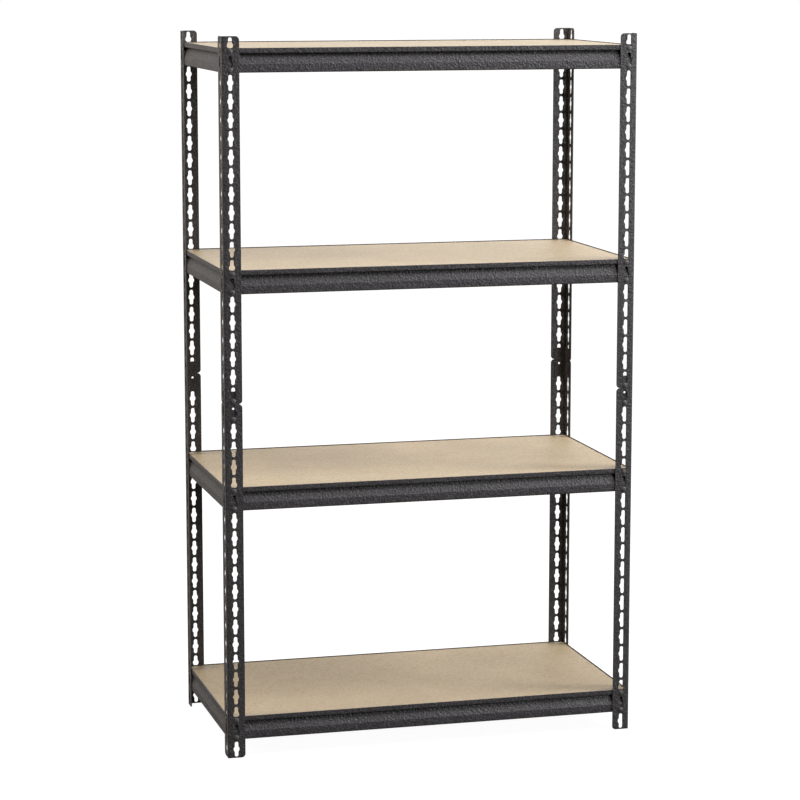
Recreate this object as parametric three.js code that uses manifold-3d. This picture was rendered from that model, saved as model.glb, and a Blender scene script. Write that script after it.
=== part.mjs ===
// Boltless steel shelving. Four slotted angle posts stand at the corners, each in two halves
// joined by a riveted splice angle. Four shelves hang on them: each has a front, rear, left and
// right beam of creased sheet steel, whose rivets drop into the posts' keyhole slots, and a
// particle-board deck that lies inside the beams' lips.
//
// Units are millimetres. X runs along the front, Y to the rear, Z up. The origin is on the
// floor, in the middle of the footprint.

import * as THREE from "three";
import { mergeVertices } from "three/addons/utils/BufferGeometryUtils.js";
import Module from "manifold-3d";

const wasm = await Module();
wasm.setup();

// The whole rack, over the outer faces of the posts.
const RACK_WIDTH = 900;
const RACK_DEPTH = 457.2;
const RACK_HEIGHT = 1524;

// Pieces that touch on the real rack keep this gap.
const FIT_GAP = 0.3;

// Posts: equal angles bent from sheet, with the free corners of each half rounded.
const POST_SHEET = 1.5;
const FLANGE_WIDTH = 37.3;
const BEND_RADIUS = 2.5;
const POST_CORNER_RADIUS = 8;
const HALF_POST_LENGTH = (RACK_HEIGHT - FIT_GAP) / 2;

// Keyhole slots: a wide middle that a rivet head passes, with a narrow neck above and below.
const SLOT_PITCH = 38.1;
const SLOTS_PER_HALF = 20;
const SLOT_LINE = 18.1;
const SLOT_LENGTH = 32.8;
const SLOT_WIDTH = 13;
const NECK_WIDTH = 7.9;
const NECK_START = 5.2;
const END_SLOT_HEIGHT = (HALF_POST_LENGTH - (SLOTS_PER_HALF - 1) * SLOT_PITCH) / 2;

// Rivets: fixed in the beams and splices, with a wide head outside the post.
const SHANK_RADIUS = 3.7;
const HEAD_RADIUS = 5.35;
const HEAD_CROWN_RADIUS = 4.6;
const HEAD_THICKNESS = 1.6;
const RIVET_ROOT = 0.7;
const RIVET_SIDES = 6;
const RIVET_SEAT_DROP = SLOT_LENGTH / 2 - FIT_GAP - SHANK_RADIUS;

// Splices: short angles nested inside the posts, across the joint between the halves.
const INNER_FACE = POST_SHEET + FIT_GAP;
const SPLICE_REACH = 29;
const SPLICE_ABOVE_JOINT = 27;
const SPLICE_BELOW_JOINT = 41;
const SPLICE_CORNER_RADIUS = 6;
const SPLICE_HOLE_RADIUS = 2.4;
const SPLICE_HOLE_DROP = 9.5;
const SPLICE_HOLE_SIDES = 8;

// Beams: a lip around the deck, a crease whose top is the ledge under the deck, a lower web
// and a narrow return. Heights are measured down from the top edge.
const BEAM_SHEET = 1.4;
const BEAM_HEIGHT = 50.6;
const LIP_HEIGHT = 11.4;
const CREASE_DEPTH = 7.6;
const CREASE_FOOT = 33;
const RETURN_WIDTH = 8;
const BEAM_END_INSET = 12;
const BEAM_TOP_BELOW_SLOT = 5.4;

// Decks: particle board on the ledges, a little below the top of the lips.
const DECK_THICKNESS = 8;
const DECK_EDGE_GAP = 0.8;
const DECK_CHAMFER = 3;

// Each shelf is named with the slot, counted from the top of the post, of its upper rivets.
const SHELVES = [
  { name: "bottom", slot: 38 },
  { name: "second", slot: 25 },
  { name: "third", slot: 13 },
  { name: "top", slot: 1 },
];

// Corners of the rack, in order round it: a post turned by the angle has its flanges there.
const CORNERS = [
  { name: "front_left", x: -1, y: -1, turn: 0 },
  { name: "front_right", x: 1, y: -1, turn: Math.PI / 2 },
  { name: "rear_right", x: 1, y: 1, turn: Math.PI },
  { name: "rear_left", x: -1, y: 1, turn: -Math.PI / 2 },
];

// How far cutters reach past the sheet that they cut, and the steps in a rounded corner.
const CUTTER_REACH = 5;
const ARC_STEPS = 3;

const POST_PAINT = new THREE.MeshStandardMaterial({ color: 0x3f3e42, roughness: 0.5, metalness: 0.3 });
const SPLICE_PAINT = new THREE.MeshStandardMaterial({ color: 0x39383b, roughness: 0.55, metalness: 0.3 });
const BEAM_PAINT = new THREE.MeshStandardMaterial({ color: 0x454449, roughness: 0.5, metalness: 0.3 });
const DECK_BOARD = new THREE.MeshStandardMaterial({ color: 0xd0b893, roughness: 0.8, metalness: 0 });

// A closed three.js geometry as a solid. A lathe has flat triangles at its poles, left out here.
function toSolid(geometry) {
  const bare = geometry.clone();
  bare.deleteAttribute("normal");
  bare.deleteAttribute("uv");
  const merged = mergeVertices(bare);
  const index = merged.index.array;
  const triangles = [];
  for (let start = 0; start < index.length; start += 3) {
    const [a, b, c] = index.slice(start, start + 3);
    if (a !== b && b !== c && c !== a) {
      triangles.push(a, b, c);
    }
  }
  const vertProperties = new Float32Array(merged.attributes.position.array);
  const triVerts = new Uint32Array(triangles);
  return new wasm.Manifold(new wasm.Mesh({ numProp: 3, vertProperties, triVerts }));
}

function toGeometry(solid) {
  const { vertProperties, triVerts } = solid.getMesh();
  const geometry = new THREE.BufferGeometry();
  geometry.setAttribute("position", new THREE.BufferAttribute(vertProperties, 3));
  geometry.setIndex(new THREE.BufferAttribute(triVerts, 1));
  geometry.computeVertexNormals();
  return geometry;
}

function extrude(shapes, depth) {
  return new THREE.ExtrudeGeometry(shapes, { depth, bevelEnabled: false, curveSegments: ARC_STEPS });
}

// Section of an equal angle with its outer corner at (inset, inset) and its legs along X and Y.
function angleSection(inset, reach) {
  const centre = inset + BEND_RADIUS;
  const inside = inset + POST_SHEET;
  const section = new THREE.Shape();
  section.moveTo(reach, inset);
  section.absarc(centre, centre, BEND_RADIUS, 1.5 * Math.PI, Math.PI, true);
  section.lineTo(inset, reach);
  section.lineTo(inside, reach);
  section.absarc(centre, centre, BEND_RADIUS - POST_SHEET, Math.PI, 1.5 * Math.PI, false);
  section.lineTo(reach, inside);
  return section;
}

// Keyhole slot centred at a height on the slot line.
function slotOutline(height) {
  const rightSide = [
    [NECK_WIDTH / 2, SLOT_LENGTH / 2],
    [NECK_WIDTH / 2, NECK_START],
    [SLOT_WIDTH / 2, 0],
    [NECK_WIDTH / 2, -NECK_START],
    [NECK_WIDTH / 2, -SLOT_LENGTH / 2],
  ];
  const leftSide = rightSide.map(([across, up]) => [-across, up]).reverse();
  const points = [...rightSide, ...leftSide];
  return new THREE.Shape(points.map(([across, up]) => new THREE.Vector2(SLOT_LINE + across, height + up)));
}

// What is trimmed off to round the two free corners of a leg that is `reach` wide.
function cornerOffcuts(reach, length, radius) {
  const outline = new THREE.Shape();
  outline.moveTo(reach - radius, -CUTTER_REACH);
  outline.lineTo(reach - radius, 0);
  outline.absarc(reach - radius, radius, radius, -Math.PI / 2, 0, false);
  outline.lineTo(reach + CUTTER_REACH, radius);
  outline.lineTo(reach + CUTTER_REACH, -CUTTER_REACH);
  const lower = outline.getPoints(ARC_STEPS);
  const upper = lower.map((point) => new THREE.Vector2(point.x, length - point.y));
  return [new THREE.Shape(lower), new THREE.Shape(upper)];
}

// Cuts outlines, drawn as distance from the corner and height, through both legs of an angle.
function cutBothLegs(solid, outlines) {
  const cutter = extrude(outlines, 2 * CUTTER_REACH);
  cutter.rotateX(Math.PI / 2);
  cutter.translate(0, CUTTER_REACH, 0);
  const turned = cutter.clone().rotateZ(Math.PI / 2);
  return solid.subtract(toSolid(cutter)).subtract(toSolid(turned));
}

// Rivet along Y: its head is outside a post's face at y = 0 and its root is in the sheet inside.
function rivet(x, height) {
  const headBase = -FIT_GAP;
  const headTop = headBase - HEAD_THICKNESS;
  const profile = [
    [0, headTop],
    [HEAD_CROWN_RADIUS, headTop],
    [HEAD_RADIUS, headBase],
    [SHANK_RADIUS, headBase],
    [SHANK_RADIUS, INNER_FACE + RIVET_ROOT],
    [0, INNER_FACE + RIVET_ROOT],
  ];
  const points = profile.map(([radius, y]) => new THREE.Vector2(radius, y));
  const geometry = new THREE.LatheGeometry(points, RIVET_SIDES, Math.PI / RIVET_SIDES);
  return geometry.translate(x, 0, height);
}

function slotHeightInHalf(number) {
  return HALF_POST_LENGTH - END_SLOT_HEIGHT - (number - 1) * SLOT_PITCH;
}

// Height above the floor of a slot's centre, with the slots counted from the top of the post.
function slotHeight(number) {
  const inUpperHalf = number <= SLOTS_PER_HALF;
  const foot = inUpperHalf ? HALF_POST_LENGTH + FIT_GAP : 0;
  return foot + slotHeightInHalf(inUpperHalf ? number : number - SLOTS_PER_HALF);
}

function makeHalfPost() {
  const angle = toSolid(extrude(angleSection(0, FLANGE_WIDTH), HALF_POST_LENGTH));
  const outlines = cornerOffcuts(FLANGE_WIDTH, HALF_POST_LENGTH, POST_CORNER_RADIUS);
  for (let number = 1; number <= SLOTS_PER_HALF; number += 1) {
    outlines.push(slotOutline(slotHeightInHalf(number)));
  }
  return toGeometry(cutBothLegs(angle, outlines));
}

// Splice with its foot at z = 0. Its rivets sit in the slots on each side of the joint.
function makeSplice() {
  const length = SPLICE_ABOVE_JOINT + SPLICE_BELOW_JOINT;
  const hole = new THREE.Shape();
  hole.absarc(SLOT_LINE, SPLICE_BELOW_JOINT - SPLICE_HOLE_DROP, SPLICE_HOLE_RADIUS, 0, 2 * Math.PI, false);
  const holeOutline = new THREE.Shape(hole.getSpacedPoints(SPLICE_HOLE_SIDES).slice(1));
  const outlines = [...cornerOffcuts(SPLICE_REACH, length, SPLICE_CORNER_RADIUS), holeOutline];
  let solid = cutBothLegs(toSolid(extrude(angleSection(INNER_FACE, SPLICE_REACH), length)), outlines);
  const foot = jointHeight() - SPLICE_BELOW_JOINT;
  for (const slot of [SLOTS_PER_HALF, SLOTS_PER_HALF + 1]) {
    const alongX = rivet(SLOT_LINE, slotHeight(slot) - RIVET_SEAT_DROP - foot);
    const alongY = mirrorAcrossDiagonal(alongX);
    solid = solid.add(toSolid(alongX)).add(toSolid(alongY));
  }
  return toGeometry(solid);
}

function jointHeight() {
  return HALF_POST_LENGTH + FIT_GAP / 2;
}

// Swaps X and Y, and reverses the triangles so that their faces still point out.
function mirrorAcrossDiagonal(geometry) {
  const swap = new THREE.Matrix4().set(0, 1, 0, 0, 1, 0, 0, 0, 0, 0, 1, 0, 0, 0, 0, 1);
  const mirrored = geometry.clone().applyMatrix4(swap);
  mirrored.index.array.reverse();
  return mirrored;
}

// Closed outline of a bent sheet: its outer line and the same line moved in by the thickness.
function sheetSection(outerLine, thickness) {
  const points = outerLine.map(([across, up]) => new THREE.Vector2(across, up));
  const normals = [];
  for (let step = 0; step + 1 < points.length; step += 1) {
    const along = points[step + 1].clone().sub(points[step]).normalize();
    normals.push(new THREE.Vector2(-along.y, along.x));
  }
  const innerLine = points.map((point, step) => {
    const before = normals[Math.max(step - 1, 0)];
    const after = normals[Math.min(step, normals.length - 1)];
    const mitre = before.clone().add(after);
    return point.clone().addScaledVector(mitre, thickness / (1 + before.dot(after)));
  });
  return new THREE.Shape([...points, ...innerLine.reverse()]);
}

// Beam along X from x = 0, with its outer face at y = 0 and its top edge at z = 0.
function makeBeam(length) {
  const outerLine = [
    [0, 0],
    [0, -LIP_HEIGHT],
    [CREASE_DEPTH, -LIP_HEIGHT],
    [0, -CREASE_FOOT],
    [0, -BEAM_HEIGHT],
    [RETURN_WIDTH, -BEAM_HEIGHT],
  ];
  const bar = extrude(sheetSection(outerLine, BEAM_SHEET), length);
  const acrossIsY = new THREE.Vector3(0, 1, 0);
  const upIsZ = new THREE.Vector3(0, 0, 1);
  const lengthIsX = new THREE.Vector3(1, 0, 0);
  bar.applyMatrix4(new THREE.Matrix4().makeBasis(acrossIsY, upIsZ, lengthIsX));
  const upperRivet = BEAM_TOP_BELOW_SLOT - RIVET_SEAT_DROP;
  const endDistance = SLOT_LINE - BEAM_END_INSET;
  let solid = toSolid(bar);
  for (const x of [endDistance, length - endDistance]) {
    for (const height of [upperRivet, upperRivet - SLOT_PITCH]) {
      solid = solid.add(toSolid(rivet(x, height).translate(0, -INNER_FACE, 0)));
    }
  }
  return toGeometry(solid);
}

// Deck with its underside at z = 0 and its corners clipped to clear the insides of the posts.
function makeDeck() {
  const edge = INNER_FACE + BEAM_SHEET + DECK_EDGE_GAP;
  const halfWidth = RACK_WIDTH / 2 - edge;
  const halfDepth = RACK_DEPTH / 2 - edge;
  const points = [];
  for (const [x, y, clipXFirst] of [[1, -1, true], [1, 1, false], [-1, 1, true], [-1, -1, false]]) {
    const clippedInX = new THREE.Vector2(x * (halfWidth - DECK_CHAMFER), y * halfDepth);
    const clippedInY = new THREE.Vector2(x * halfWidth, y * (halfDepth - DECK_CHAMFER));
    points.push(...(clipXFirst ? [clippedInX, clippedInY] : [clippedInY, clippedInX]));
  }
  return extrude(new THREE.Shape(points), DECK_THICKNESS);
}

function addPiece(parent, name, geometry, material, position, turn = 0) {
  const mesh = new THREE.Mesh(geometry, material);
  mesh.name = name;
  mesh.position.set(...position);
  mesh.rotation.z = turn;
  parent.add(mesh);
}

// The posts and splices, which are alike at every corner but for their turn.
function makePosts() {
  const group = new THREE.Group();
  const halfPost = makeHalfPost();
  const splice = makeSplice();
  const spliceFoot = jointHeight() - SPLICE_BELOW_JOINT;
  for (const corner of CORNERS) {
    const x = (corner.x * RACK_WIDTH) / 2;
    const y = (corner.y * RACK_DEPTH) / 2;
    const upperFoot = HALF_POST_LENGTH + FIT_GAP;
    addPiece(group, `${corner.name}_lower_post`, halfPost, POST_PAINT, [x, y, 0], corner.turn);
    addPiece(group, `${corner.name}_upper_post`, halfPost, POST_PAINT, [x, y, upperFoot], corner.turn);
    addPiece(group, `${corner.name}_splice`, splice, SPLICE_PAINT, [x, y, spliceFoot], corner.turn);
  }
  return group;
}

// The four beams and the deck of one shelf, with z = 0 at the beams' top edges.
function makeShelf(shelf, longBeam, shortBeam, deck) {
  const group = new THREE.Group();
  group.position.z = slotHeight(shelf.slot) - BEAM_TOP_BELOW_SLOT;
  const outerX = RACK_WIDTH / 2 - INNER_FACE;
  const outerY = RACK_DEPTH / 2 - INNER_FACE;
  const endX = RACK_WIDTH / 2 - BEAM_END_INSET;
  const endY = RACK_DEPTH / 2 - BEAM_END_INSET;
  const deckFoot = BEAM_SHEET - LIP_HEIGHT + FIT_GAP;
  addPiece(group, `${shelf.name}_front_beam`, longBeam, BEAM_PAINT, [-endX, -outerY, 0], 0);
  addPiece(group, `${shelf.name}_rear_beam`, longBeam, BEAM_PAINT, [endX, outerY, 0], Math.PI);
  addPiece(group, `${shelf.name}_left_beam`, shortBeam, BEAM_PAINT, [-outerX, endY, 0], -Math.PI / 2);
  addPiece(group, `${shelf.name}_right_beam`, shortBeam, BEAM_PAINT, [outerX, -endY, 0], Math.PI / 2);
  addPiece(group, `${shelf.name}_deck`, deck, DECK_BOARD, [0, 0, deckFoot]);
  return group;
}

function makeRack() {
  const rack = new THREE.Group();
  const longBeam = makeBeam(RACK_WIDTH - 2 * BEAM_END_INSET);
  const shortBeam = makeBeam(RACK_DEPTH - 2 * BEAM_END_INSET);
  const deck = makeDeck();
  rack.add(makePosts());
  for (const shelf of SHELVES) {
    rack.add(makeShelf(shelf, longBeam, shortBeam, deck));
  }
  return rack;
}

export default makeRack();
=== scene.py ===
"""Looks of the boltless steel shelving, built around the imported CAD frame.

Every steel piece is a bent sheet: its outer surface is made flat with its holes, folded, given
its thickness and broken at the edges. The rivets are turned. The decks are particle board.
Everything is in metres, in the frame of the CAD: X along the front, Y to the rear, Z up.
"""

import math

import bmesh
import bpy
from mathutils import Matrix, Vector
from mathutils.geometry import delaunay_2d_cdt


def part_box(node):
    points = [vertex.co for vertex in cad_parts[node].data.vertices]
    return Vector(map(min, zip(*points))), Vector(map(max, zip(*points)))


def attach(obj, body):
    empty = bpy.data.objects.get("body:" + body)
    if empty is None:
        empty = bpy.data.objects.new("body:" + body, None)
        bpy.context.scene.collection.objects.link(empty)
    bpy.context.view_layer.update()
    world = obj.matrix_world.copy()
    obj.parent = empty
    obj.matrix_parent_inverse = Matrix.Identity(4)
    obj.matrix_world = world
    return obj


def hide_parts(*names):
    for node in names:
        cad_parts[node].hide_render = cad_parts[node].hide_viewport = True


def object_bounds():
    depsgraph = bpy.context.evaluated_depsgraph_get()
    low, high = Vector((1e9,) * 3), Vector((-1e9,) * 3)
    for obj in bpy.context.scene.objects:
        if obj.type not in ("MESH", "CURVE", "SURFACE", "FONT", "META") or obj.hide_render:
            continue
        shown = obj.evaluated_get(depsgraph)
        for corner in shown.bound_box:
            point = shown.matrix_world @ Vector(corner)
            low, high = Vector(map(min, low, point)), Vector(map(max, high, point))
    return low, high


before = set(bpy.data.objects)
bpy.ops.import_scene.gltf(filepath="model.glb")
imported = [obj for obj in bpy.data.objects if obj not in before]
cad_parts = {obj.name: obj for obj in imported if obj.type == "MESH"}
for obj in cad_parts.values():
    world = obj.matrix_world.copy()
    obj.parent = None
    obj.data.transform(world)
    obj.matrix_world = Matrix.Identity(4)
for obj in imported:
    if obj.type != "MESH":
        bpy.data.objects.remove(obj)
cad_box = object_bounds()

MM = 0.001

# Steel sheet, and the running gap between pieces that touch.
POST_SHEET = 1.5 * MM
BEAM_SHEET = 1.4 * MM
FIT_GAP = 0.3 * MM
INNER_FACE = POST_SHEET + FIT_GAP
BEND_RADIUS = 2.5 * MM
EDGE_BREAK = 0.22 * MM
POST_CORNER_RADIUS = 8 * MM
SPLICE_CORNER_RADIUS = 6 * MM

# Double-ended keyhole slots.
SLOT_PITCH = 38.1 * MM
SLOTS_PER_HALF = 20
SLOT_LINE = 18.1 * MM
SLOT_LENGTH = 32.8 * MM
NECK_RADIUS = 3.95 * MM
EYE_RADIUS = 6.5 * MM
SHOULDER_RADIUS = 4.5 * MM

# Splices: the hole and the rivets are measured from the joint between the halves of a post.
SPLICE_REACH = 29 * MM
SPLICE_HOLE_RADIUS = 2.4 * MM
SPLICE_HOLE_DROP = 9.5 * MM

# Rivets.
SHANK_RADIUS = 3.7 * MM
HEAD_RADIUS = 5.35 * MM
HEAD_THICKNESS = 1.6 * MM
HEAD_RIM = 0.4 * MM
RIVET_ROOT = 0.7 * MM
RIVET_SEAT_DROP = SLOT_LENGTH / 2 - FIT_GAP - SHANK_RADIUS

# Beam section, measured down from the top edge and inwards from the outer face.
LIP_HEIGHT = 11.4 * MM
CREASE_DEPTH = 7.6 * MM
CREASE_FOOT = 33 * MM
BEAM_HEIGHT = 50.6 * MM
RETURN_WIDTH = 8 * MM
BEAM_TOP_BELOW_SLOT = 5.4 * MM
OUTSIDE_BEND = 2.3 * MM
INSIDE_BEND = OUTSIDE_BEND - BEAM_SHEET

# Decks. Each shelf's board is darkened by its own factor, painted shade for how the light falls on
# the shelves: darkest on the bottom shelf.
DECK_CHAMFER = 3 * MM
DECK_EDGE_BREAK = 0.5 * MM
BOARD_PAINTED_SHADES = {"bottom": 0.8, "second": 0.95, "third": 1.0, "top": 0.87}
SHELVES = tuple(BOARD_PAINTED_SHADES)

# How pieces drawn in the front left corner, or along the front, are turned to their places.
CORNER_TURNS = {
    "front_left": 0,
    "front_right": math.pi / 2,
    "rear_right": math.pi,
    "rear_left": -math.pi / 2,
}
BEAM_TURNS = {"front": 0, "right": math.pi / 2, "rear": math.pi, "left": -math.pi / 2}

# Surfaces: the sizes of what the paint and the boards are made of, and how painted shade
# darkens the paint in the beams' crease, by depth from the outer face.
DIMPLE_SIZE = 4.2 * MM
DIMPLE_DEPTH = 0.9 * MM
PEEL_SIZE = 3 * MM
PEEL_DEPTH = 0.7 * MM
FLECK_SIZE = 3.6 * MM
PAINT_CLOUD_SIZE = 140 * MM
CREASE_SHADE_FROM = 4 * MM
CREASE_SHADE_FULL_AT = 7 * MM
CREASE_SHADE_DARKEST = 0.1
FACE_CHIP = 3.4 * MM
EDGE_CHIP = 2.4 * MM
CHIP_DEPTH = 0.05 * MM
BOARD_CLOUD_SIZE = 90 * MM

# Studio: the floor's own light and its radius, and the soft room round the rack, with each
# side's brightness against a white of 1. The room grows darker below the horizon.
FLOOR_RADIUS = 60
FLOOR_GLOW = 0.96
ROOM_COLOUR = (1, 0.965, 0.93, 1)
ROOM_SIDES = (("Z", 1, 0.9), ("Z", -1, 0.3), ("X", 1, 1.2), ("Y", 1, 0.42))
ROOM_DARKEST_AT = -0.4
ROOM_DARKEST = 0.25

# Soft boxes: place, height aimed at as a share of the rack's, width, power and colour.
WHITE = (1, 1, 1)
WARM_WHITE = (1, 0.9, 0.74)
SOFTBOXES = {
    "key": ((3.2, -1.2, 3.0), 0.65, 1.2, 112, WHITE),
    "high": ((1.0, -1.2, 3.4), 0.5, 1.0, 16, WHITE),
    "front": ((2.6, -4.0, 1.7), 0.7, 0.9, 30, WHITE),
    "rear": ((1.1, 3.5, 2.6), 0.6, 2.6, 38, WHITE),
    "right": ((3.3, 0.6, 2.2), 0.8, 2.2, 16, WHITE),
    "left": ((-3.2, 0.3, 2.3), 0.9, 1.8, 75, WARM_WHITE),
}

# Camera: measured from the outer corner of the front left post and from the rack's top.
CAMERA_LENS = 125
CAMERA_REACH = 200
CAMERA_LEFT = 1.1275
CAMERA_FORWARD = 5.6142
CAMERA_ABOVE = 0.1601
CAMERA_HEADING = math.radians(15.01)
CAMERA_TILT = math.radians(9.067)


# ---- Outlines --------------------------------------------------------------------------------


def arc(centre, radius, start, end, steps):
    """Points of an arc from angle start to angle end, in degrees, both ends included."""
    angles = [math.radians(start + (end - start) * step / steps) for step in range(steps + 1)]
    return [(centre[0] + radius * math.cos(a), centre[1] + radius * math.sin(a)) for a in angles]


def circle(centre, radius, steps):
    return arc(centre, radius, 0, 360, steps)[:-1]


def slot_outline(height):
    """Keyhole slot: round-ended necks that flow through fillets into a round eye."""
    fillet_across = NECK_RADIUS + SHOULDER_RADIUS
    reach = EYE_RADIUS + SHOULDER_RADIUS
    fillet_up = math.sqrt(reach**2 - fillet_across**2)
    meet = math.degrees(math.atan2(fillet_up, fillet_across))
    neck_centre = SLOT_LENGTH / 2 - NECK_RADIUS
    quarter = arc((0, neck_centre), NECK_RADIUS, 90, 0, 5)
    quarter += arc((fillet_across, fillet_up), SHOULDER_RADIUS, 180, 180 + meet, 3)
    quarter += arc((0, 0), EYE_RADIUS, meet, 0, 4)[1:]
    right = quarter + [(x, -y) for x, y in reversed(quarter[:-1])]
    left = [(-x, y) for x, y in reversed(right[1:-1])]
    return [(SLOT_LINE + x, height + y) for x, y in right + left]


def leg_outline(near, reach, length, radius):
    """Flat leg of an angle from its bend to its free edge, with the two free corners rounded."""
    lower = arc((reach - radius, radius), radius, -90, 0, 8)
    upper = arc((reach - radius, length - radius), radius, 0, 90, 8)
    return [(near, 0), *lower, *upper, (near, length)]


def fill(outline, holes):
    """Triangles of a flat outline with holes, as points and index triples."""
    points, loops = [], []
    for loop in [outline, *holes]:
        loops.append(range(len(points), len(points) + len(loop)))
        points += [Vector(point) for point in loop]
    inside_without_holes = 2
    found = delaunay_2d_cdt(points, [], [list(loop) for loop in loops], inside_without_holes, 1e-7)
    return [tuple(point) for point in found[0]], [tuple(face) for face in found[2]]


def rounded_line(points, radii, steps):
    """Open line with each inner corner replaced by an arc of its own radius."""
    line = [points[0]]
    for before, corner, after, radius in zip(points, points[1:], points[2:], radii):
        here = Vector(corner)
        back = (Vector(before) - here).normalized()
        on = (Vector(after) - here).normalized()
        half = back.angle(on) / 2
        start = here + back * radius / math.tan(half)
        centre = here + (back + on).normalized() * radius / math.sin(half)
        spoke = start - centre
        sweep = math.pi - 2 * half
        turn = -math.copysign(1, back.x * on.y - back.y * on.x)
        for step in range(steps + 1):
            turned = Matrix.Rotation(turn * sweep * step / steps, 2) @ spoke
            line.append(tuple(centre + turned))
    return [*line, points[-1]]


# ---- Meshes ----------------------------------------------------------------------------------


def mesh_from(bm, name):
    mesh = bpy.data.meshes.new(name)
    bm.to_mesh(mesh)
    bm.free()
    mesh.shade_smooth()
    return mesh


def with_modifiers(mesh, *settings):
    """The mesh after modifiers, each given as its type and its values."""
    holder = bpy.data.objects.new(mesh.name, mesh)
    bpy.context.scene.collection.objects.link(holder)
    for kind, values in settings:
        modifier = holder.modifiers.new(kind.lower(), kind)
        for key, value in values.items():
            setattr(modifier, key, value)
    graph = bpy.context.evaluated_depsgraph_get()
    made = bpy.data.meshes.new_from_object(holder.evaluated_get(graph), depsgraph=graph)
    made.name = mesh.name
    bpy.data.objects.remove(holder)
    return made


def broken_edges(width):
    values = {
        "width": width,
        "segments": 2,
        "limit_method": "ANGLE",
        "angle_limit": math.radians(40),
        "harden_normals": True,
    }
    return "BEVEL", values


def thickened(mesh, thickness):
    """A surface that faces out, made into sheet of that thickness on its inner side."""
    sheet = {"thickness": thickness, "offset": -1, "use_even_offset": True}
    return with_modifiers(mesh, ("SOLIDIFY", sheet), broken_edges(EDGE_BREAK))


def angle_mesh(name, inset, reach, length, corner_radius, holes):
    """Equal angle with its outer corner at (inset, inset) and the same holes in both legs."""
    near = inset + BEND_RADIUS
    points, triangles = fill(leg_outline(near, reach, length, corner_radius), holes)
    bm = bmesh.new()
    along_x = [bm.verts.new((across, inset, up)) for across, up in points]
    along_y = [bm.verts.new((inset, across, up)) for across, up in points]
    for triangle in triangles:
        bm.faces.new([along_x[i] for i in triangle])
        bm.faces.new([along_y[i] for i in reversed(triangle)])
    bend = arc((near, near), BEND_RADIUS, 270, 180, 6)
    feet = [bm.verts.new((x, y, 0)) for x, y in bend]
    tops = [bm.verts.new((x, y, length)) for x, y in bend]
    for i in range(len(bend) - 1):
        bm.faces.new([feet[i + 1], feet[i], tops[i], tops[i + 1]])
    bmesh.ops.remove_doubles(bm, verts=bm.verts, dist=0.001 * MM)
    return thickened(mesh_from(bm, name), POST_SHEET)


def beam_mesh(name, length):
    """Creased sheet along X, with its outer face at y = 0 and its top edge at z = 0."""
    corners = [
        (0, 0),
        (0, -LIP_HEIGHT),
        (CREASE_DEPTH, -LIP_HEIGHT),
        (0, -CREASE_FOOT),
        (0, -BEAM_HEIGHT),
        (RETURN_WIDTH, -BEAM_HEIGHT),
    ]
    radii = [OUTSIDE_BEND, INSIDE_BEND, OUTSIDE_BEND, OUTSIDE_BEND]
    line = rounded_line(corners, radii, 5)
    bm = bmesh.new()
    starts = [bm.verts.new((0, across, up)) for across, up in line]
    ends = [bm.verts.new((length, across, up)) for across, up in line]
    for i in range(len(line) - 1):
        bm.faces.new([starts[i + 1], ends[i + 1], ends[i], starts[i]])
    return thickened(mesh_from(bm, name), BEAM_SHEET)


def add_rivet(bm, place):
    """Turned rivet: it points out along -Y from a post's face at y = 0, before place moves it."""
    base = -FIT_GAP
    rim = base - HEAD_RIM
    rise = HEAD_THICKNESS - HEAD_RIM
    dome_radius = (HEAD_RADIUS**2 + rise**2) / (2 * rise)
    dome_angle = math.degrees(math.asin(HEAD_RADIUS / dome_radius))
    dome = arc((0, rim - rise + dome_radius), dome_radius, dome_angle - 90, -90, 6)
    profile = [(0, INNER_FACE + RIVET_ROOT), (SHANK_RADIUS, INNER_FACE + RIVET_ROOT)]
    profile += [(SHANK_RADIUS, base), (HEAD_RADIUS, base), *dome[:-1], (0, base - HEAD_THICKNESS)]
    steps = 28
    rings = []
    for radius, along in profile:
        count = steps if radius else 1
        angles = [2 * math.pi * i / steps for i in range(count)]
        ring = [Vector((radius * math.cos(a), along, radius * math.sin(a))) for a in angles]
        rings.append([bm.verts.new(place @ point) for point in ring])
    for one, two in zip(rings, rings[1:]):
        for i in range(steps):
            j = (i + 1) % steps
            around = [one[i % len(one)], one[j % len(one)], two[j % len(two)], two[i % len(two)]]
            bm.faces.new(list(dict.fromkeys(around)))


def rivets_mesh(name, places):
    bm = bmesh.new()
    for place in places:
        add_rivet(bm, place)
    bmesh.ops.recalc_face_normals(bm, faces=bm.faces)
    mesh = mesh_from(bm, name)
    mesh.set_sharp_from_angle(angle=math.radians(50))
    return mesh


def deck_mesh(name, low, high):
    """Board with clipped corners; its edges are in a second material slot."""
    bm = bmesh.new()
    outline = []
    for x, y, clip_x_first in ((high.x, low.y, True), (high.x, high.y, False),
                               (low.x, high.y, True), (low.x, low.y, False)):
        in_x = (x - math.copysign(DECK_CHAMFER, x), y)
        in_y = (x, y - math.copysign(DECK_CHAMFER, y))
        outline += [in_x, in_y] if clip_x_first else [in_y, in_x]
    lower = [bm.verts.new((x, y, low.z)) for x, y in outline]
    upper = [bm.verts.new((x, y, high.z)) for x, y in outline]
    bm.faces.new(list(reversed(lower)))
    bm.faces.new(upper)
    for i in range(len(outline)):
        j = (i + 1) % len(outline)
        side = bm.faces.new([lower[i], lower[j], upper[j], upper[i]])
        side.material_index = 1
    return with_modifiers(mesh_from(bm, name), broken_edges(DECK_EDGE_BREAK))


# ---- Materials -------------------------------------------------------------------------------


def linear(red, green, blue):
    """Colour as Blender's sockets want it, from the usual 0 to 255 values."""
    channels = [value / 255 for value in (red, green, blue)]
    return [c / 12.92 if c <= 0.04045 else ((c + 0.055) / 1.055) ** 2.4 for c in channels] + [1]


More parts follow.
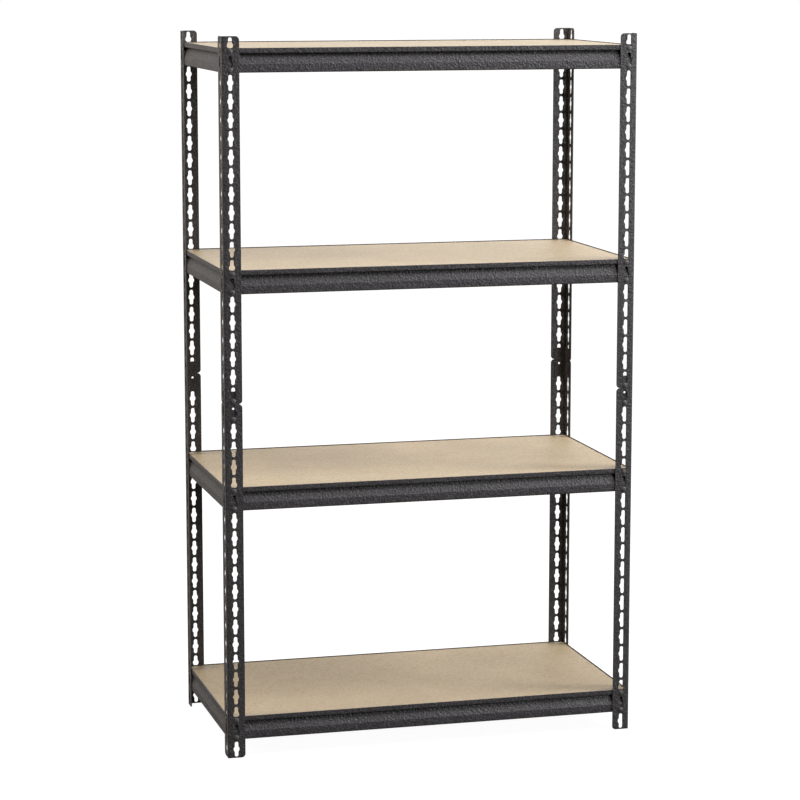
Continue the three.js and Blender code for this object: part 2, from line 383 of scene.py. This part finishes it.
class Nodes:
    """The node tree of a material or world, with short calls for what the ones below are made of."""

    def __init__(self, owner, shader="Principled BSDF"):
        self.owner = owner
        owner.use_nodes = True
        self.tree = owner.node_tree
        self.shader = self.tree.nodes[shader]

    def add(self, kind, inputs=(), **settings):
        node = self.tree.nodes.new("ShaderNode" + kind)
        for key, value in settings.items():
            setattr(node, key, value)
        for key, value in dict(inputs).items():
            self.feed(node.inputs[key], value)
        return node

    def feed(self, socket, value):
        if isinstance(value, bpy.types.NodeSocket):
            self.tree.links.new(value, socket)
        else:
            socket.default_value = value

    def place(self, spread):
        """Object coordinates, moved by a different amount on each object."""
        coordinates = self.add("TexCoord").outputs["Object"]
        shift = self.math("MULTIPLY", self.add("ObjectInfo").outputs["Random"], spread)
        return self.add("VectorMath", {0: coordinates, 1: shift}, operation="ADD").outputs[0]

    def math(self, operation, one, two=0.0):
        return self.add("Math", {0: one, 1: two}, operation=operation).outputs[0]

    def noise(self, place, size, detail=2.0, distortion=0.0):
        inputs = {"Vector": place, "Scale": 1 / size, "Detail": detail, "Distortion": distortion}
        return self.add("TexNoise", inputs).outputs[0]

    def cells(self, place, size, output="Distance", feature="F1"):
        node = self.add("TexVoronoi", {"Vector": place, "Scale": 1 / size}, feature=feature)
        return node.outputs[output]

    def span(self, value, low, high, to_low=0.0, to_high=1.0):
        inputs = {0: value, 1: low, 2: high, 3: to_low, 4: to_high}
        return self.add("MapRange", inputs).outputs[0]

    def stretched(self, place, turn, ratio):
        """Coordinates turned about Z, in which what is made comes out longer along X."""
        inputs = {"Vector": place, "Rotation": (0, 0, turn), "Scale": (1, ratio, 1)}
        return self.add("Mapping", inputs).outputs[0]

    def mix(self, share, one, two, blend="MIX"):
        node = self.add("Mix", {0: share, 6: one, 7: two}, data_type="RGBA", blend_type=blend)
        return node.outputs[2]

    def toned(self, colour, tone):
        """The colour, darker or lighter by tone."""
        grey = self.add("CombineColor", {0: tone, 1: tone, 2: tone}).outputs[0]
        return self.mix(1.0, colour, grey, "MULTIPLY")

    def bump(self, height, depth, strength=1.0, normal=None):
        inputs = {"Height": height, "Distance": depth, "Strength": strength}
        if normal is not None:
            inputs["Normal"] = normal
        return self.add("Bump", inputs).outputs[0]


def make_paint(name, shade, fleck, relief=1.0, paints_crease_shade=False):
    """Hammertone powder coat: fine dimples that glint, and slow changes of tone.

    With crease shade on, painted shade darkens it deep in a beam's crease, where the lip keeps the
    light off.
    """
    nodes = Nodes(bpy.data.materials.new(name))
    place = nodes.place(5.0)
    dimples = nodes.cells(place, DIMPLE_SIZE, feature="SMOOTH_F1")
    peel = nodes.noise(place, PEEL_SIZE)
    patches = nodes.noise(place, FLECK_SIZE, detail=2, distortion=0.5)
    clouds = nodes.noise(place, PAINT_CLOUD_SIZE, detail=3)
    colour = nodes.mix(nodes.span(patches, 0.44, 0.62), shade, fleck)
    tone = nodes.span(clouds, 0.3, 0.7, 0.9, 1.1)
    if paints_crease_shade:
        # Painted shade: the colour darkens with depth into the beam's crease, standing in for the
        # lip's shadow.
        own_place = nodes.add("TexCoord").outputs["Object"]
        depth = nodes.add("SeparateXYZ", {0: own_place}).outputs["Y"]
        painted_crease_shade = nodes.span(depth, CREASE_SHADE_FROM, CREASE_SHADE_FULL_AT, 1.0, CREASE_SHADE_DARKEST)
        tone = nodes.math("MULTIPLY", tone, painted_crease_shade)
    nodes.feed(nodes.shader.inputs["Base Color"], nodes.toned(colour, tone))
    nodes.feed(nodes.shader.inputs["Roughness"], nodes.span(patches, 0.35, 0.65, 0.4, 0.3))
    dimple_bump = nodes.bump(dimples, DIMPLE_DEPTH, relief)
    nodes.feed(nodes.shader.inputs["Normal"], nodes.bump(peel, PEEL_DEPTH, relief, dimple_bump))
    return nodes.owner


def make_board(name, tone, dark, mid, pale, chip):
    """Sanded particle board: chips of two sizes in several tans, the odd ones dark."""
    nodes = Nodes(bpy.data.materials.new(name))
    place = nodes.place(3.0)
    wobble = nodes.noise(place, 4 * chip, detail=2)
    shift = nodes.math("MULTIPLY", wobble, 2 * chip)
    warped = nodes.add("VectorMath", {0: place, 1: shift}, operation="ADD").outputs[0]
    coarse = nodes.cells(nodes.stretched(warped, 0.6, 2.1), chip, "Color")
    fine = nodes.cells(nodes.stretched(warped, -0.9, 1.7), chip * 0.55, "Color")
    coarse = nodes.add("SeparateColor", {0: coarse}).outputs[0]
    fine = nodes.add("SeparateColor", {0: fine}).outputs[1]
    coarse_share = nodes.math("MULTIPLY", coarse, 0.55)
    chips = nodes.math("ADD", coarse_share, nodes.math("MULTIPLY", fine, 0.45))
    paler = nodes.mix(nodes.span(chips, 0.45, 0.85), mid, pale)
    colour = nodes.mix(nodes.span(chips, 0.32, 0.12), paler, dark)
    clouds = nodes.noise(place, BOARD_CLOUD_SIZE, detail=3)
    # Painted shade: tone darkens the board for the shelf it is on; the clouds are the board's own
    # mottling.
    mottle = nodes.span(clouds, 0.3, 0.7, 0.95 * tone, 1.04 * tone)
    nodes.feed(nodes.shader.inputs["Base Color"], nodes.toned(colour, mottle))
    nodes.feed(nodes.shader.inputs["Roughness"], nodes.span(chips, 0, 1, 0.62, 0.5))
    nodes.shader.inputs["Specular IOR Level"].default_value = 0.3
    nodes.feed(nodes.shader.inputs["Normal"], nodes.bump(chips, CHIP_DEPTH, 0.5))
    return nodes.owner


def make_floor_material():
    """White studio floor, with enough light of its own to stay white as far as the horizon."""
    nodes = Nodes(bpy.data.materials.new("pale_floor"))
    nodes.shader.inputs["Base Color"].default_value = (0.1, 0.1, 0.1, 1)
    nodes.shader.inputs["Roughness"].default_value = 0.8
    nodes.shader.inputs["Emission Color"].default_value = (1, 1, 1, 1)
    nodes.shader.inputs["Emission Strength"].default_value = FLOOR_GLOW
    return nodes.owner


# ---- Pieces ----------------------------------------------------------------------------------


def show(name, mesh, materials, place, body, node):
    """A piece that stands for a CAD node and moves with its body."""
    if not mesh.materials:
        for material in materials:
            mesh.materials.append(material)
    piece = bpy.data.objects.new(name, mesh)
    bpy.context.scene.collection.objects.link(piece)
    piece.matrix_world = place
    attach(piece, body)
    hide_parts(node)
    return piece


def placed(x, y, z, turn=0.0):
    return Matrix.Translation((x, y, z)) @ Matrix.Rotation(turn, 4, "Z")


def outer_corner(node):
    """The corner of a post's box that is outermost on the rack."""
    low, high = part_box(node)
    x = low.x if abs(low.x) > abs(high.x) else high.x
    y = low.y if abs(low.y) > abs(high.y) else high.y
    return x, y


def slot_heights(half_length):
    """Heights of the slots' centres in a half post, from the top down."""
    end = (half_length - (SLOTS_PER_HALF - 1) * SLOT_PITCH) / 2
    return [half_length - end - i * SLOT_PITCH for i in range(SLOTS_PER_HALF)]


def make_posts(paint):
    low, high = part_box("front_left_lower_post")
    length = high.z - low.z
    holes = [slot_outline(height) for height in slot_heights(length)]
    mesh = angle_mesh("post_angle", 0, high.x - low.x, length, POST_CORNER_RADIUS, holes)
    for corner, turn in CORNER_TURNS.items():
        for half in ("lower", "upper"):
            node = f"{corner}_{half}_post"
            place = placed(*outer_corner(node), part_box(node)[0].z, turn)
            show(f"{node}_angle", mesh, [paint], place, "root", node)


def make_splices(paint, rivet_paint):
    low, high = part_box("front_left_splice")
    lower_low, lower_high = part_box("front_left_lower_post")
    upper_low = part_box("front_left_upper_post")[0]
    half_length = lower_high.z - lower_low.z
    joint = (lower_high.z + upper_low.z) / 2
    hole = circle((SLOT_LINE, joint - SPLICE_HOLE_DROP - low.z), SPLICE_HOLE_RADIUS, 20)
    length = high.z - low.z
    sheet = angle_mesh("splice_angle", INNER_FACE, SPLICE_REACH, length, SPLICE_CORNER_RADIUS, [hole])
    heights = slot_heights(half_length)
    seats = [upper_low.z + heights[-1] - RIVET_SEAT_DROP, heights[0] - RIVET_SEAT_DROP]
    swap = Matrix(((0, 1, 0, 0), (1, 0, 0, 0), (0, 0, 1, 0), (0, 0, 0, 1)))
    places = [Matrix.Translation((SLOT_LINE, 0, seat - low.z)) for seat in seats]
    places += [swap @ place for place in places]
    rivets = rivets_mesh("splice_rivets", places)
    for corner, turn in CORNER_TURNS.items():
        node = f"{corner}_splice"
        place = placed(*outer_corner(f"{corner}_lower_post"), low.z, turn)
        show(f"{node}_angle", sheet, [paint], place, "root", node)
        show(f"{node}_rivets", rivets, [rivet_paint], place, "root", node)


def beam_place(node, side):
    """Where a beam's own frame goes: its outer face, its first end and its top edge."""
    low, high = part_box(node)
    corner_x, corner_y = outer_corner("front_left_lower_post")
    face_x, face_y = -corner_x - INNER_FACE, -corner_y - INNER_FACE
    starts = {
        "front": (low.x, -face_y),
        "rear": (high.x, face_y),
        "left": (-face_x, high.y),
        "right": (face_x, low.y),
    }
    return placed(*starts[side], high.z, BEAM_TURNS[side])


def beam_meshes(kind, node, along):
    """The sheet and the four rivets of a beam as long as the CAD node is along that axis."""
    low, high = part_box(node)
    length = high[along] - low[along]
    corner_x, corner_y = outer_corner("front_left_lower_post")
    end_inset = abs((corner_x, corner_y)[along]) - high[along]
    end = SLOT_LINE - end_inset
    top = BEAM_TOP_BELOW_SLOT - RIVET_SEAT_DROP
    places = [
        Matrix.Translation((x, -INNER_FACE, height))
        for x in (end, length - end)
        for height in (top, top - SLOT_PITCH)
    ]
    return beam_mesh(f"{kind}_beam_sheet", length), rivets_mesh(f"{kind}_beam_rivets", places)


def make_beams(paint, rivet_paint):
    long_pair = beam_meshes("long", "top_front_beam", 0)
    short_pair = beam_meshes("short", "top_left_beam", 1)
    for shelf in SHELVES:
        for side in BEAM_TURNS:
            sheet, rivets = long_pair if side in ("front", "rear") else short_pair
            node = f"{shelf}_{side}_beam"
            place = beam_place(node, side)
            show(f"{node}_sheet", sheet, [paint], place, node, node)
            show(f"{node}_rivets", rivets, [rivet_paint], place, node, node)


def make_decks(edge):
    tans = linear(160, 138, 107), linear(184, 165, 135), linear(195, 179, 151)
    # Each shelf's tone is painted shade for the light that shelf gets.
    for shelf, tone in BOARD_PAINTED_SHADES.items():
        node = f"{shelf}_deck"
        low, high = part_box(node)
        mesh = deck_mesh(f"{node}_board", low, high)
        face = make_board(f"{node}_face", tone, *tans, FACE_CHIP)
        show(f"{node}_board", mesh, [face, edge], Matrix.Identity(4), node, node)


# ---- Stage -----------------------------------------------------------------------------------


def make_floor():
    bm = bmesh.new()
    bmesh.ops.create_circle(bm, cap_ends=True, radius=FLOOR_RADIUS, segments=96)
    mesh = mesh_from(bm, "floor")
    mesh.materials.append(make_floor_material())
    floor = bpy.data.objects.new("floor", mesh)
    floor.location.z = cad_box[0].z
    floor.visible_diffuse = False
    floor.visible_glossy = False
    bpy.context.scene.collection.objects.link(floor)


def make_world():
    """White backdrop for the camera; for the rack, a soft room with a brightness for each side."""
    nodes = Nodes(bpy.data.worlds.new("studio"), "Background")
    nodes.shader.inputs["Color"].default_value = (1, 1, 1, 1)
    nodes.shader.inputs["Strength"].default_value = 1.0
    direction = nodes.add("SeparateXYZ", {0: nodes.add("TexCoord").outputs["Generated"]})
    strength = 0.0
    for axis, sign, brightness in ROOM_SIDES:
        towards = nodes.math("MAXIMUM", nodes.math("MULTIPLY", direction.outputs[axis], sign))
        share = nodes.math("MULTIPLY", nodes.math("POWER", towards, 2.0), brightness)
        strength = nodes.math("ADD", share, strength)
    fade = nodes.span(direction.outputs["Z"], ROOM_DARKEST_AT, 0.0, ROOM_DARKEST, 1.0)
    strength = nodes.math("MULTIPLY", strength, fade)
    room = nodes.add("Background", {"Color": ROOM_COLOUR, "Strength": strength})
    seen = nodes.add("LightPath").outputs["Is Camera Ray"]
    either = nodes.add("MixShader", {0: seen, 1: room.outputs[0], 2: nodes.shader.outputs[0]})
    nodes.feed(nodes.tree.nodes["World Output"].inputs["Surface"], either.outputs[0])
    bpy.context.scene.world = nodes.owner


def add_softbox(name, location, target_height, size, power, colour):
    """Square light aimed at a height on the rack's middle line."""
    data = bpy.data.lights.new(name, "AREA")
    data.size = size
    data.energy = power
    data.color = colour
    light = bpy.data.objects.new(name, data)
    light.location = location
    target = Vector((0, 0, target_height))
    light.rotation_euler = (light.location - target).to_track_quat("Z", "Y").to_euler()
    bpy.context.scene.collection.objects.link(light)


def make_lights():
    for name, (location, aim, size, power, colour) in SOFTBOXES.items():
        add_softbox(name, location, aim * cad_box[1].z, size, power, colour)


def make_camera():
    """Long lens, to the left of the front and a little above the rack, looking slightly down."""
    data = bpy.data.cameras.new("camera")
    data.lens = CAMERA_LENS
    data.clip_end = CAMERA_REACH
    camera = bpy.data.objects.new("camera", data)
    corner_x, corner_y = outer_corner("front_left_lower_post")
    top = cad_box[1].z
    camera.location = (corner_x - CAMERA_LEFT, corner_y - CAMERA_FORWARD, top + CAMERA_ABOVE)
    camera.rotation_euler = (math.pi / 2 - CAMERA_TILT, 0, -CAMERA_HEADING)
    bpy.context.scene.collection.objects.link(camera)
    bpy.context.scene.camera = camera
    bpy.context.scene.view_settings.view_transform = "Standard"


def main():
    make_camera()
    post_paint = make_paint("post_hammertone", linear(66, 64, 66), linear(88, 86, 89))
    splice_paint = make_paint("splice_hammertone", linear(61, 59, 61), linear(82, 80, 83))
    beam_shades = linear(70, 68, 71), linear(94, 92, 96)
    # The beams' paint carries painted shade deep in the crease.
    beam_paint = make_paint("beam_hammertone", *beam_shades, paints_crease_shade=True)
    rivet_paint = make_paint("rivet_paint", linear(96, 93, 94), linear(106, 103, 104), 0.3)
    edge_tans = linear(128, 104, 74), linear(160, 138, 108), linear(178, 160, 132)
    board_edge = make_board("board_edge", 1, *edge_tans, EDGE_CHIP)
    make_posts(post_paint)
    make_splices(splice_paint, rivet_paint)
    make_beams(beam_paint, rivet_paint)
    make_decks(board_edge)
    make_floor()
    make_world()
    make_lights()


main()
